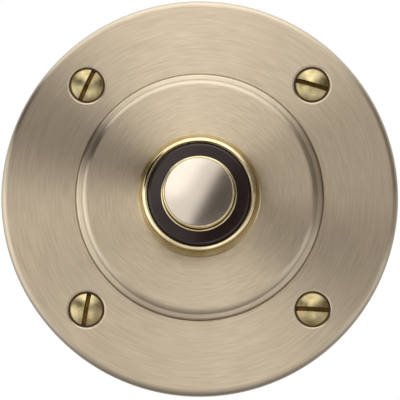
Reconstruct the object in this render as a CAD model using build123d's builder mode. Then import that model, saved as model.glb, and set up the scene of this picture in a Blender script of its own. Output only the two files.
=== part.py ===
"""Round brass doorbell push with a sprung button and a two-pole contact, in millimetres.

The back of the face plate lies on the wall, in the XZ plane, with Z up and the front facing -Y.
Heights are counted from the wall towards the front, so a height h lies at y = -h.
"""

import os
from math import sqrt

from build123d import *

os.makedirs("parts", exist_ok=True)

# Face plate
plate_dia = 63.5
flange_thick = 4.0
plate_edge = 1.0
flange_width = 12.01
disc_rise = 1.4
disc_edge = 0.65
bead_width = 0.96
bead_lift = 0.14
bead_sweep = 112
quirk = 0.15
valley_inset = 0.9
valley_rise = 0.5

# Fixing screws: slotted raised countersunk wood screws, gauge 4 by 3/4 inch
screw_shank_dia = 2.84
screw_core_dia = 2.1
screw_plain = 4.0
screw_head_dia = 5.44
screw_dome = 0.75
screw_length = 19.0
screw_point = 6.0
screw_point_dia = 0.7
screw_slot_width = 0.75
screw_slot_depth = 1.15
screw_edge_distance = 6.25
screw_hole_gap = 0.18
sink_gap = 0.23
slot_turns = (-16, 65, 80, -3)

# Push button and its guide
button_dia = 11.36
button_stand = 3.0
face_dome = 0.3
face_thick = 1.0
cap_rim = 0.32
cap_edge = 0.15
cap_roof = 1.5
skirt_wall = 0.78
skirt_engaged = 4.05
travel = 2.0
bush_wall = 0.3
bush_edge = 0.12
bush_length = 4.45
bush_stand = 0.35

# Bezel shell and insulator body
body_wall = 0.97
rear_wall = 1.35
barrel_wall = 0.75
thread_run = 1.5
pilot_step = 0.3
roll_thick = 0.6
roll_depth = 1.1
collar_height = 3.3
collar_ledge = 1.3
ledge_thick = 1.0
lip_thick = 0.6
foot_flare = 0.85
foot_edge = 0.06
lip_band = 0.35
ring_drop = 0.37
ring_crown = 0.17
ring_edge = 0.3
web_thick = 1.5

# Clamp behind the plate
nut_wall = 1.65
nut_thick = 1.4
nut_chamfer = 0.3
nut_sink = 0.2
washer_thick = 0.6
washer_band = 2.3
washer_tooth = 0.9
washer_notches = 12
recess_room = 1.5

# Plunger and moving contact
stem_dia = 3.0
boss_wall = 1.1
boss_short = 0.6
stem_blind = 0.8
tail_dia = 2.5
tail_end = 0.8
clip_thick = 0.5
clip_band = 1.4
clip_grip = 0.45
clip_lobe = 0.9
clip_mouth = 1.9
clip_room = 0.7
fibre_wall = 0.9
fibre_flange_dia = 6.6
fibre_flange = 0.7
disc_thick = 0.8
disc_room = 0.5
fibre_washer_thick = 0.7
contact_nut_af = 5.0
contact_nut_thick = 1.4

# Return spring
spring_wire = 0.6
spring_turns = 4.5

# Fixed contacts and terminals
strip_thick = 0.5
strip_width = 3.0
strip_room = 0.25
strip_bend = 0.6
pad_room = 0.35
foot_room = 0.7
terminal_inset = 1.95
foot_reach = 1.5
base_thick = 2.0
rib_thick = 0.8
rib_height = 1.2
terminal_dia = 2.0
terminal_head_dia = 3.8
terminal_head = 1.3
terminal_slot_width = 0.5
terminal_slot_depth = 0.6
terminal_washer_dia = 4.2
terminal_washer = 0.4

# Clearances
running_gap = 0.07
slip_gap = 0.06
press_gap = 0.02
seat_gap = 0.02
skirt_gap = 0.6

# Radii, worked out from the button outwards
plate_r = plate_dia / 2
screw_circle_r = plate_r - screw_edge_distance
bead_out_r = plate_r - flange_width
bead_r = bead_width / 2
valley_r = bead_out_r - valley_inset
cap_r = button_dia / 2
bush_bore_r = cap_r + running_gap
bush_r = bush_bore_r + bush_wall
guide_r = bush_r + press_gap
body_r = guide_r + body_wall
barrel_bore_r = body_r + slip_gap
barrel_r = barrel_bore_r + barrel_wall
pilot_r = barrel_r - pilot_step
collar_bore_r = barrel_bore_r + collar_ledge
ring_r = collar_bore_r - slip_gap
lip_r = collar_bore_r + lip_thick
foot_r = lip_r + foot_flare
nut_r = barrel_r + nut_wall
recess_r = nut_r * 2 / sqrt(3) + recess_room
stem_r = stem_dia / 2
tail_r = tail_dia / 2
boss_r = stem_r + boss_wall
pocket_r = cap_r - skirt_wall
spring_r = (boss_r + pocket_r) / 2
fibre_r = tail_r + fibre_wall
fibre_flange_r = fibre_flange_dia / 2
chamber_r = body_r - rear_wall
disc_r = chamber_r - disc_room
strip_out = sqrt((chamber_r - strip_room) ** 2 - (strip_width / 2) ** 2)
terminal_x = strip_out - terminal_inset

# Heights, worked out from the wall forwards and then from the button back
disc_front = flange_thick + disc_rise
bead_mid = flange_thick + bead_lift
valley = flange_thick + valley_rise
screw_rim = flange_thick - sink_gap + seat_gap
recess_depth = nut_sink + nut_thick + washer_thick
nut_front = nut_sink + nut_thick
thread_back = nut_sink - thread_run
ledge_front = disc_front + ledge_thick
lip_front = disc_front + collar_height
ring_rim = lip_front - ring_drop
ring_front = ring_rim + ring_crown
bush_front = ring_front + bush_stand
bush_back = bush_front - bush_length
button_front = bush_front + button_stand
cap_front = button_front - face_dome
face_seat = cap_front - face_thick
pocket_roof = face_seat - cap_roof
stem_front = face_seat - stem_blind
skirt_back = bush_front - skirt_engaged
web_front = skirt_back - travel - skirt_gap
web_back = web_front - web_thick
clip_back = web_back - clip_thick
tail_front = clip_back - clip_room
disc_seat = tail_front - fibre_flange
disc_back = disc_seat - disc_thick
fibre_back = disc_back - fibre_washer_thick
stem_back = fibre_back - contact_nut_thick - tail_end
pad_front = disc_back - travel
foot_front = stem_back - travel - foot_room
base_front = foot_front - strip_thick
base_back = base_front - base_thick
barrel_back = base_back - roll_thick

# Half-sections are drawn with x as the radius and y as the height, and turned about the Y axis
section = Plane(origin=(0, 0, 0), x_dir=(1, 0, 0), z_dir=(0, 0, -1))
front = Plane.XZ
back = Plane(origin=(0, 0, 0), x_dir=(-1, 0, 0), z_dir=(0, 1, 0))
screw_places = PolarLocations(screw_circle_r, 4, start_angle=45, rotate=False).locations
terminal_places = GridLocations(2 * terminal_x, 0, 2, 1).locations

# Face plate: turned from brass, with a rounded edge, a bead with a fine groove at its foot round
# the raised disc, and a counterbore at the back that hides the clamping nut
with BuildPart() as face_plate:
    with BuildSketch(section):
        with BuildLine():
            Polyline(
                (barrel_r + slip_gap, disc_front),
                (barrel_r + slip_gap, recess_depth),
                (recess_r, recess_depth),
                (recess_r, 0),
                (plate_r, 0),
                (plate_r, flange_thick - plate_edge),
            )
            CenterArc((plate_r - plate_edge, flange_thick - plate_edge), plate_edge, 0, 90)
            Polyline(
                (plate_r - plate_edge, flange_thick),
                (bead_out_r + quirk, flange_thick),
                (bead_out_r, flange_thick - quirk),
                (bead_out_r, bead_mid),
            )
            bead = CenterArc((bead_out_r - bead_r, bead_mid), bead_r, 0, bead_sweep)
            Line(bead @ 1, (valley_r, valley))
            EllipticalCenterArc(
                (valley_r - disc_edge, valley),
                disc_edge,
                disc_front - valley,
                start_angle=0,
                arc_size=90,
            )
            Line((valley_r - disc_edge, disc_front), (barrel_r + slip_gap, disc_front))
        make_face()
    revolve(axis=Axis.Y)
    with Locations(front.offset(flange_thick)):
        with Locations(screw_places):
            CounterSinkHole(
                radius=screw_shank_dia / 2 + screw_hole_gap,
                counter_sink_radius=screw_head_dia / 2 + sink_gap,
                counter_sink_angle=90,
            )
face_plate.part.label = "face_plate"
export_step(face_plate.part, "parts/face_plate.step")

# One fixing screw, upright on its own axis, with the rim of the head at z = 0. Behind the plain
# shank it has the size of the thread's core
head_r = screw_head_dia / 2
shank_r = screw_shank_dia / 2
core_r = screw_core_dia / 2
with BuildPart() as fixing_screw:
    with BuildSketch(Plane.XZ):
        with BuildLine():
            Polyline(
                (0, screw_dome),
                (0, -screw_length),
                (screw_point_dia / 2, -screw_length),
                (core_r, screw_point - screw_length),
                (core_r, -screw_plain),
                (shank_r, shank_r - core_r - screw_plain),
                (shank_r, shank_r - head_r),
                (head_r, 0),
            )
            dome_r = (head_r**2 + screw_dome**2) / (2 * screw_dome)
            RadiusArc((head_r, 0), (0, screw_dome), -dome_r)
        make_face()
    revolve(axis=Axis.Z)
    with BuildSketch(Plane.XY.offset(screw_dome)):
        Rectangle(screw_head_dia + screw_dome, screw_slot_width)
    extrude(amount=-screw_slot_depth, mode=Mode.SUBTRACT)

# The four screws sit a little deep in the countersinks, each turned as it was driven home
with BuildPart() as fixing_screws:
    for place, slot_turn in zip(screw_places, slot_turns):
        with Locations(front.offset(screw_rim) * place * Rot(Z=slot_turn)):
            add(fixing_screw.part)
fixing_screws.part.label = "fixing_screws"
export_step(fixing_screws.part, "parts/fixing_screws.step")

# Bezel shell: a turned brass collar with a hollow-curved foot and a rounded lip. Its barrel goes
# through the plate, is turned down behind the thread, and is rolled in over the terminal base
lip_curve = lip_thick / 2
with BuildPart() as bezel_shell:
    with BuildSketch(section):
        with BuildLine():
            Polyline(
                (collar_bore_r, lip_front - lip_curve),
                (collar_bore_r, ledge_front),
                (barrel_bore_r, ledge_front),
                (barrel_bore_r, base_back),
                (barrel_bore_r - roll_depth, base_back),
                (barrel_bore_r - roll_depth, barrel_back),
                (pilot_r - roll_thick, barrel_back),
                (pilot_r, base_back),
                (pilot_r, thread_back),
                (barrel_r, thread_back + pilot_step),
                (barrel_r, disc_front),
                (foot_r, disc_front),
                (foot_r, disc_front + foot_edge),
            )
            EllipticalCenterArc(
                (foot_r, lip_front - lip_curve - lip_band),
                foot_flare,
                collar_height - lip_curve - lip_band - foot_edge,
                start_angle=180,
                arc_size=90,
            )
            Line((lip_r, lip_front - lip_curve - lip_band), (lip_r, lip_front - lip_curve))
            CenterArc((lip_r - lip_curve, lip_front - lip_curve), lip_curve, 0, 180)
        make_face()
    revolve(axis=Axis.Y)
bezel_shell.part.label = "bezel_shell"
export_step(bezel_shell.part, "parts/bezel_shell.step")

# Lock washer: a flat spring-steel ring with teeth cut on its inner edge
with BuildPart() as lock_washer:
    with BuildSketch(front.offset(nut_front)):
        Circle(barrel_r + washer_band)
        Circle(barrel_r + slip_gap, mode=Mode.SUBTRACT)
        with PolarLocations(barrel_r + washer_tooth / 2, washer_notches):
            Rectangle(washer_tooth, washer_tooth, mode=Mode.SUBTRACT)
    extrude(amount=washer_thick)
lock_washer.part.label = "lock_washer"
export_step(lock_washer.part, "parts/lock_washer.step")

# Ring nut: a thin brass hexagon on the barrel, with its corners turned off at the back
with BuildPart() as ring_nut:
    with BuildSketch(front.offset(nut_sink)):
        RegularPolygon(nut_r, 6, major_radius=False)
        Circle(barrel_r + slip_gap, mode=Mode.SUBTRACT)
    extrude(amount=nut_thick)
    with BuildSketch(section):
        with BuildLine():
            Polyline(
                (0, nut_sink),
                (nut_r, nut_sink),
                (nut_r + sqrt(3) * nut_chamfer, nut_sink + nut_chamfer),
                (nut_r * 2, nut_sink + nut_chamfer),
                (nut_r * 2, nut_front),
                (0, nut_front),
                close=True,
            )
        make_face()
    revolve(axis=Axis.Y, mode=Mode.INTERSECT)
ring_nut.part.label = "ring_nut"
export_step(ring_nut.part, "parts/ring_nut.step")

# Insulator body: one black moulding, with the coned ring that shows in the collar, a bore for
# the guide bush, a web that carries the spring and a chamber for the contacts
with BuildPart() as insulator_body:
    with BuildSketch(section) as body_half:
        with BuildLine():
            Polyline(
                (guide_r, ring_front),
                (guide_r, bush_back),
                (bush_bore_r, bush_back),
                (bush_bore_r, web_front),
                (stem_r + running_gap, web_front),
                (stem_r + running_gap, web_back),
                (chamber_r, web_back),
                (chamber_r, base_front),
                (body_r, base_front),
                (body_r, ledge_front),
                (ring_r, ledge_front),
                (ring_r, ring_rim),
                close=True,
            )
        make_face()
        fillet(body_half.vertices().group_by(Axis.X)[-1].sort_by(Axis.Y)[-1], ring_edge)
    revolve(axis=Axis.Y)
insulator_body.part.label = "insulator_body"
export_step(insulator_body.part, "parts/insulator_body.step")

# Guide bush: a thin drawn brass tube pressed into the moulding, with its front edges broken
with BuildPart() as guide_bush:
    with BuildSketch(section):
        with Locations(((bush_bore_r + bush_r) / 2, (bush_front + bush_back) / 2)):
            Rectangle(bush_wall, bush_length)
    revolve(axis=Axis.Y)
    chamfer(guide_bush.edges().group_by(Axis.Y)[0], bush_edge)
guide_bush.part.label = "guide_bush"
export_step(guide_bush.part, "parts/guide_bush.step")

# Button cap: a turned brass cup with a rim round the face disc, a skirt that runs in the guide
# bush and a boss that takes the stem
with BuildPart() as button_cap:
    with BuildSketch(section):
        with BuildLine():
            Polyline(
                (0, face_seat),
                (cap_r - cap_rim, face_seat),
                (cap_r - cap_rim, cap_front),
                (cap_r - cap_edge, cap_front),
            )
            CenterArc((cap_r - cap_edge, cap_front - cap_edge), cap_edge, 0, 90)
            Polyline(
                (cap_r, cap_front - cap_edge),
                (cap_r, skirt_back),
                (pocket_r, skirt_back),
                (pocket_r, pocket_roof),
                (boss_r, pocket_roof),
                (boss_r, skirt_back + boss_short),
                (stem_r + press_gap, skirt_back + boss_short),
                (stem_r + press_gap, stem_front),
                (0, stem_front),
                (0, face_seat),
            )
        make_face()
    revolve(axis=Axis.Y)
button_cap.part.label = "button_cap"
export_step(button_cap.part, "parts/button_cap.step")

# Button face: a polished disc with a softly domed front, let into the rim of the cap
face_r = cap_r - cap_rim - press_gap
with BuildPart() as button_face:
    with BuildSketch(section):
        with BuildLine():
            Polyline(
                (0, button_front),
                (0, face_seat),
                (face_r, face_seat),
                (face_r, cap_front),
            )
            TangentArc((0, button_front), (face_r, cap_front), tangent=(1, 0))
        make_face()
    revolve(axis=Axis.Y)
button_face.part.label = "button_face"
export_step(button_face.part, "parts/button_face.step")

# Plunger stem: a brass rod pressed into the cap, grooved for the clip and turned down at the
# back to take the moving contact
groove_r = stem_r - clip_grip
with BuildPart() as plunger_stem:
    with BuildSketch(section):
        with BuildLine():
            Polyline(
                (0, stem_front),
                (stem_r, stem_front),
                (stem_r, web_back + seat_gap),
                (groove_r, web_back + seat_gap),
                (groove_r, clip_back - seat_gap),
                (stem_r, clip_back - seat_gap),
                (stem_r, tail_front),
                (tail_r, tail_front),
                (tail_r, stem_back),
                (0, stem_back),
                close=True,
            )
        make_face()
    revolve(axis=Axis.Y)
plunger_stem.part.label = "plunger_stem"
export_step(plunger_stem.part, "parts/plunger_stem.step")

# Retaining clip: a stamped spring-steel E-clip in the groove, resting on the back of the web
with BuildPart() as retaining_clip:
    with BuildSketch(front.offset(clip_back)):
        Circle(stem_r + clip_band)
        Circle(stem_r + clip_band / 2, mode=Mode.SUBTRACT)
        with PolarLocations(stem_r + clip_band / 2, 3, start_angle=90):
            Rectangle(clip_band + clip_grip, clip_lobe)
        Circle(stem_r + clip_band, mode=Mode.INTERSECT)
        Circle(groove_r + press_gap, mode=Mode.SUBTRACT)
        with Locations((0, -stem_r - clip_band)):
            Rectangle(clip_mouth, 2 * (stem_r + clip_band), mode=Mode.SUBTRACT)
    extrude(amount=clip_thick)
retaining_clip.part.label = "retaining_clip"
export_step(retaining_clip.part, "parts/retaining_clip.step")

# Fibre bush: a shouldered insulator on the tail of the stem, which carries the contact disc
with BuildPart() as fibre_bush:
    with BuildSketch(section):
        with BuildLine():
            Polyline(
                (tail_r + press_gap, tail_front),
                (fibre_flange_r, tail_front),
                (fibre_flange_r, disc_seat),
                (fibre_r, disc_seat),
                (fibre_r, disc_back),
                (tail_r + press_gap, disc_back),
                close=True,
            )
        make_face()
    revolve(axis=Axis.Y)
fibre_bush.part.label = "fibre_bush"
export_step(fibre_bush.part, "parts/fibre_bush.step")

# Contact disc: the moving contact, which bridges the two strips when the button is pressed
with BuildPart() as contact_disc:
    with BuildSketch(front.offset(disc_back)):
        Circle(disc_r)
        Circle(fibre_r + press_gap, mode=Mode.SUBTRACT)
    extrude(amount=disc_thick)
contact_disc.part.label = "contact_disc"
export_step(contact_disc.part, "parts/contact_disc.step")

# Fibre washer behind the contact disc
with BuildPart() as fibre_washer:
    with BuildSketch(front.offset(fibre_back)):
        Circle(fibre_flange_r)
        Circle(tail_r + press_gap, mode=Mode.SUBTRACT)
    extrude(amount=fibre_washer_thick)
fibre_washer.part.label = "fibre_washer"
export_step(fibre_washer.part, "parts/fibre_washer.step")

# Contact nut: a small brass hexagon that clamps the contact to the stem
with BuildPart() as contact_nut:
    with BuildSketch(front.offset(fibre_back - contact_nut_thick)):
        RegularPolygon(contact_nut_af / 2, 6, major_radius=False)
        Circle(tail_r + press_gap, mode=Mode.SUBTRACT)
    extrude(amount=contact_nut_thick)
contact_nut.part.label = "contact_nut"
export_step(contact_nut.part, "parts/contact_nut.step")

# Return spring: steel wire, drawn eight-sided, coiled between the web and the roof of the pocket
spring_low = web_front + spring_wire / 2 + seat_gap
spring_high = pocket_roof - spring_wire / 2 - seat_gap
spring_rise = spring_high - spring_low
with BuildPart() as return_spring:
    with BuildLine() as coil:
        Helix(
            spring_rise / spring_turns,
            spring_rise,
            spring_r,
            center=(0, -spring_low, 0),
            direction=(0, -1, 0),
        )
    with BuildSketch(Plane(origin=coil.line @ 0, z_dir=coil.line % 0)):
        RegularPolygon(spring_wire / 2, 8)
    sweep(path=coil.line, is_frenet=True)
return_spring.part.label = "return_spring"
export_step(return_spring.part, "parts/return_spring.step")

# Contact strip on the right: brass strip bent to a pad behind the disc, a leg beside the wall of
# the chamber and a foot that the terminal screw pulls against the base
with BuildPart() as contact_strip_right:
    with BuildSketch(section) as strip_side:
        with BuildLine():
            Polyline(
                (fibre_flange_r + pad_room, pad_front),
                (strip_out, pad_front),
                (strip_out, base_front),
                (terminal_x - foot_reach, base_front),
                (terminal_x - foot_reach, foot_front),
                (strip_out - strip_thick, foot_front),
                (strip_out - strip_thick, pad_front - strip_thick),
                (fibre_flange_r + pad_room, pad_front - strip_thick),
                close=True,
            )
        make_face()
        fillet(strip_side.vertices().group_by(Axis.X)[-1], strip_bend)
    extrude(amount=strip_width / 2, both=True)
    with Locations(front.offset(foot_front)):
        with Locations((terminal_x, 0)):
            Hole(terminal_dia / 2 + press_gap, depth=2 * strip_thick)
contact_strip_right.part.label = "contact_strip_right"
export_step(contact_strip_right.part, "parts/contact_strip_right.step")

# Contact strip on the left: the same strip, the other way round
with BuildPart() as contact_strip_left:
    mirror(contact_strip_right.part, about=Plane.YZ)
contact_strip_left.part.label = "contact_strip_left"
export_step(contact_strip_left.part, "parts/contact_strip_left.step")

# Terminal base: a moulded disc that closes the barrel, with a barrier rib between the terminals
with BuildPart() as terminal_base:
    with BuildSketch(front.offset(base_back)):
        Circle(body_r)
    extrude(amount=base_thick)
    with BuildSketch(back.offset(-base_back)):
        Rectangle(rib_thick, 2 * (barrel_bore_r - roll_depth - slip_gap - rib_thick))
    extrude(amount=rib_height)
    with Locations(back.offset(-base_back)):
        with Locations(terminal_places):
            Hole(terminal_dia / 2 + slip_gap, depth=base_thick)
terminal_base.part.label = "terminal_base"
export_step(terminal_base.part, "parts/terminal_base.step")

# Terminal washers under the screw heads, one for each wire
with BuildPart() as terminal_washers:
    with BuildSketch(back.offset(-base_back)):
        with Locations(terminal_places):
            Circle(terminal_washer_dia / 2)
            Circle(terminal_dia / 2 + slip_gap, mode=Mode.SUBTRACT)
    extrude(amount=terminal_washer)
terminal_washers.part.label = "terminal_washers"
export_step(terminal_washers.part, "parts/terminal_washers.step")

# Terminal screws: slotted cheese heads at the back, with the shanks through to the strips
terminal_seat = terminal_washer - base_back
with BuildPart() as terminal_screws:
    with BuildSketch(back.offset(terminal_seat)):
        with Locations(terminal_places):
            Circle(terminal_head_dia / 2)
    extrude(amount=terminal_head)
    with BuildSketch(back.offset(terminal_seat)):
        with Locations(terminal_places):
            Circle(terminal_dia / 2)
    extrude(amount=-(terminal_washer + base_thick + strip_thick))
    with BuildSketch(back.offset(terminal_seat + terminal_head)):
        with Locations(terminal_places):
            Rectangle(2 * terminal_head_dia, terminal_slot_width, rotation=60)
    extrude(amount=-terminal_slot_depth, mode=Mode.SUBTRACT)
terminal_screws.part.label = "terminal_screws"
export_step(terminal_screws.part, "parts/terminal_screws.step")
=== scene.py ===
"""A round brass doorbell push with a sprung button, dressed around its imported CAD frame.

The back of the face plate lies in the XZ plane, Z is up and the front faces -Y. Sizes are written in
millimetres, and a height is counted from the wall forwards, so a height h lies at y = -h.
"""

import math

import bmesh
import bpy
from mathutils import Matrix, Vector


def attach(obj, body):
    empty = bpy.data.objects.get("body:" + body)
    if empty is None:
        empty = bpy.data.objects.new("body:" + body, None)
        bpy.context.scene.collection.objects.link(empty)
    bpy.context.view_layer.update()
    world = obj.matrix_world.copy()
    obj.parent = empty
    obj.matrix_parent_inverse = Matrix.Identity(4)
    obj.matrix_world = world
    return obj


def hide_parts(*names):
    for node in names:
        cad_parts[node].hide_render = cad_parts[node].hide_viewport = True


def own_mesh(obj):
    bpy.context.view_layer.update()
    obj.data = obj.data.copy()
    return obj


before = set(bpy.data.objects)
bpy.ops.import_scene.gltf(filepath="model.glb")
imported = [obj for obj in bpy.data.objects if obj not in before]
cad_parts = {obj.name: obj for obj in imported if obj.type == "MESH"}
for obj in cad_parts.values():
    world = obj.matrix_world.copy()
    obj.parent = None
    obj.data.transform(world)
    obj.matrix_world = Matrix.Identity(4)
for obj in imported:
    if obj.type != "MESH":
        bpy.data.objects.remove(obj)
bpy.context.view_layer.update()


# Bezel shell: the collar round the button and the barrel behind it, one turned and polished brass
# piece. A hollow-curved foot sits on the plate, and the barrel goes through and takes a ring nut.
MM = 0.001

lip_front, lip_r, bore_r, lip_inside, lip_outside, lip_fall = 8.7, 9.05, 8.47, 0.08, 0.28, 0.08
foot_r, foot_top, foot_front, flare_top, flare_curve = 9.88, 5.46, 5.4, 6.3, 2.1
ledge_front, barrel_bore_r, barrel_r = 6.4, 7.1, 7.85
thread_root_r, thread_front, thread_back, thread_pitch, run_out = 7.55, 2.2, -1.3, 0.98, 0.4
roll_r, roll_front, roll_back = 6.0, -10.1, -10.7


def arc(centre_r, centre_h, along_r, along_h, start, end, steps=12):
    """Points on part of an ellipse in a half-section, from one angle to another in degrees."""
    turns = [math.radians(start + (end - start) * i / steps) for i in range(steps + 1)]
    return [(centre_r + along_r * math.cos(t), centre_h + along_h * math.sin(t)) for t in turns]


def rounded(outline, steps=8):
    """The corners of a closed half-section, with each third number as the rounding of its corner."""
    points = []
    for i, corner in enumerate(outline):
        here = Vector(corner[:2])
        round_r = corner[2] if len(corner) > 2 else 0
        back = Vector(outline[i - 1][:2]) - here
        on = Vector(outline[(i + 1) % len(outline)][:2]) - here
        if round_r == 0 or back.length < 1e-9 or on.length < 1e-9:
            points.append(here)
            continue
        back, on = back.normalized(), on.normalized()
        half = back.angle(on) / 2
        centre = here + (back + on).normalized() * (round_r / math.sin(half))
        first = here + back * (round_r / math.tan(half)) - centre
        last = here + on * (round_r / math.tan(half)) - centre
        sweep = first.angle_signed(last)
        turns = [-sweep * k / steps for k in range(steps + 1)]
        points += [centre + Matrix.Rotation(turn, 2) @ first for turn in turns]
    return [p for i, p in enumerate(points) if (p - points[i - 1]).length > 1e-4]


def with_flats(points, margin=0.05):
    """Adds a point just inside each end of a straight run, so that flats stay flat when shaded."""
    whole = []
    for i, here in enumerate(points):
        on = points[(i + 1) % len(points)] - here
        whole.append(here)
        if on.length > 6 * margin:
            whole += [here + on * (margin / on.length), here + on * (1 - margin / on.length)]
    return whole


def smooth(mesh, sharp=32):
    """Smooth shading, with the edges sharper than an angle in degrees left crisp."""
    mesh.shade_smooth()
    mesh.set_sharp_from_angle(angle=math.radians(sharp))


def set_down(name, shape):
    """A new object in the scene, made from a bmesh."""
    mesh = bpy.data.meshes.new(name)
    shape.to_mesh(mesh)
    shape.free()
    piece = bpy.data.objects.new(name, mesh)
    bpy.context.scene.collection.objects.link(piece)
    return piece


def turned(name, outline, sides=160, axis="Y"):
    """A closed half-section of (radius, height, rounding) corners, turned into a solid piece.

    The axis is Y, with heights towards -Y, or Z for a piece that is set in place later."""
    points = with_flats(rounded(outline))
    shape = bmesh.new()
    rings = []
    for r, h in points:
        count = sides if r > 1e-6 else 1
        ring = []
        for k in range(count):
            a = 2 * math.pi * k / sides
            x, y = r * MM * math.cos(a), r * MM * math.sin(a)
            ring.append(shape.verts.new((x, -h * MM, y) if axis == "Y" else (x, y, h * MM)))
        rings.append(ring)
    for i, near in enumerate(rings):
        far = rings[(i + 1) % len(rings)]
        for k in range(sides):
            corners = [near[k % len(near)], near[(k + 1) % len(near)]]
            corners += [far[(k + 1) % len(far)], far[k % len(far)]]
            corners = list(dict.fromkeys(corners))
            if len(corners) > 2:
                shape.faces.new(corners)
    bmesh.ops.recalc_face_normals(shape, faces=shape.faces)
    piece = set_down(name, shape)
    smooth(piece.data)
    return piece


def linear(code):
    """An sRGB hex colour as the linear colour that a socket takes."""
    parts = [int(code[i:i + 2], 16) / 255 for i in (1, 3, 5)]
    return [*(p / 12.92 if p <= 0.04045 else ((p + 0.055) / 1.055) ** 2.4 for p in parts), 1]


def fill(tree, made, inputs):
    """Sets or links a node's inputs by name or number.

    A node stands for the first output that it has in use, and a hex code for its colour."""
    for key, value in inputs.items():
        if isinstance(value, bpy.types.Node):
            value = next(out for out in value.outputs if out.enabled)
        if isinstance(value, bpy.types.NodeSocket):
            tree.links.new(value, made.inputs[key])
        else:
            made.inputs[key].default_value = linear(value) if isinstance(value, str) else value


def node(tree, kind, inputs={}, **settings):
    """Adds a node with its settings and its inputs."""
    made = tree.nodes.new(kind)
    for key, value in settings.items():
        setattr(made, key, value)
    fill(tree, made, inputs)
    return made


def bare_material(name):
    """A new material and its node tree, still empty."""
    made = bpy.data.materials.new(name)
    made.use_nodes = True
    made.node_tree.nodes.clear()
    return made, made.node_tree


def new_finish(name):
    """A new material with its shader, and the place on the piece that its patterns read."""
    made, tree = bare_material(name)
    shader = node(tree, "ShaderNodeBsdfPrincipled")
    node(tree, "ShaderNodeOutputMaterial", {"Surface": shader})
    place = node(tree, "ShaderNodeTexCoord").outputs["Object"]
    return made, tree, shader, place


# Polished brass: machine-buffed, so it is bright and warm, with faint buffing haze and a little
# tarnish that gathers in soft patches a few millimetres wide.
polished_brass, tree, shader, place = new_finish("polished_brass")
haze = node(tree, "ShaderNodeTexNoise", {"Vector": place, "Scale": 1 / (2.5 * MM), "Detail": 4})
buffing = node(tree, "ShaderNodeTexNoise", {"Vector": place, "Scale": 1 / (0.3 * MM), "Detail": 2})
tone = node(tree, "ShaderNodeMapRange", {0: haze, 1: 0.35, 2: 0.7})
colour = node(tree, "ShaderNodeMix", {0: tone, 6: "#DDD0AE", 7: "#CDBB8C"}, data_type="RGBA")
gloss = node(tree, "ShaderNodeMapRange", {0: buffing, 1: 0.3, 2: 0.7, 3: 0.06, 4: 0.11})
grain = node(tree, "ShaderNodeBump", {"Strength": 0.08, "Distance": 0.01 * MM, "Height": buffing})
fill(tree, shader, {"Base Color": colour, "Roughness": gloss, "Normal": grain, "Metallic": 1})

bezel = turned("bezel_collar", [
    (bore_r, lip_front, lip_inside),
    (bore_r, ledge_front),
    (barrel_bore_r, ledge_front, 0.08),
    (barrel_bore_r, roll_front),
    (roll_r, roll_front),
    (roll_r, roll_back, 0.2),
    (thread_root_r, roll_back, 0.5),
    (thread_root_r, thread_front),
    (barrel_r, thread_front),
    (barrel_r, foot_front),
    (foot_r, foot_front),
    (foot_r, foot_top),
    (lip_r, flare_top, flare_curve),
    (lip_r, lip_front - lip_fall, lip_outside),
])


def sockets(tree, *names):
    """The named inputs of a Geometry Nodes tree, sizes unless the name says otherwise, and its output."""
    kinds = {"Geometry": "NodeSocketGeometry", "Finish": "NodeSocketMaterial"}
    for name in names:
        tree.interface.new_socket(name, in_out="INPUT", socket_type=kinds.get(name, "NodeSocketFloat"))
    tree.interface.new_socket("Geometry", in_out="OUTPUT", socket_type="NodeSocketGeometry")
    return node(tree, "NodeGroupInput").outputs


def wind(tree, path, depth, root, crest, fade):
    """The ridge of a thread along a path, with its root on the path and its crest outwards."""
    section = node(tree, "GeometryNodeCurvePrimitiveQuadrilateral", {
        "Height": depth, "Bottom Width": root, "Top Width": crest, "Offset": 0}, mode="TRAPEZOID")
    half = node(tree, "ShaderNodeMath", {0: depth, 1: 0.5}, operation="MULTIPLY")
    lift = node(tree, "ShaderNodeCombineXYZ", {"Y": half})
    section = node(tree, "GeometryNodeTransform", {"Geometry": section, "Translation": lift})
    section = node(tree, "GeometryNodeTransform", {"Geometry": section, "Rotation": (0, 0, math.pi / 2)})
    level = node(tree, "GeometryNodeSetCurveNormal", {"Curve": path}, mode="Z_UP")
    return node(tree, "GeometryNodeCurveToMesh", {
        "Curve": level, "Profile Curve": section, "Scale": fade, "Fill Caps": True})


def lay(tree, shape, seat, finish, tip=math.pi / 2):
    """Ends a tree: tips the shape over from Z to Y, seats it along Y and gives it its finish."""
    seat = node(tree, "ShaderNodeCombineXYZ", {"Y": seat})
    laid = node(tree, "GeometryNodeTransform", {
        "Geometry": shape, "Translation": seat, "Rotation": (tip, 0, 0)})
    whole = node(tree, "GeometryNodeRealizeInstances", {"Geometry": laid})
    painted = node(tree, "GeometryNodeSetMaterial", {"Geometry": whole, "Material": finish})
    node(tree, "NodeGroupOutput", {0: painted})


def grow(name, tree, sizes, start=None):
    """Runs a Geometry Nodes tree on a mesh, or on nothing, and keeps the result as a plain mesh."""
    seed = bpy.data.objects.new(name, start or bpy.data.meshes.new(name))
    bpy.context.scene.collection.objects.link(seed)
    run = seed.modifiers.new("grow", "NODES")
    run.node_group = tree
    for item in tree.interface.items_tree:
        if item.in_out == "INPUT" and item.name in sizes:
            run[item.identifier] = sizes[item.name]
    graph = bpy.context.evaluated_depsgraph_get()
    mesh = bpy.data.meshes.new_from_object(seed.evaluated_get(graph), depsgraph=graph)
    seed.modifiers.remove(run)
    seed.data = mesh
    smooth(mesh)
    return seed


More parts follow.
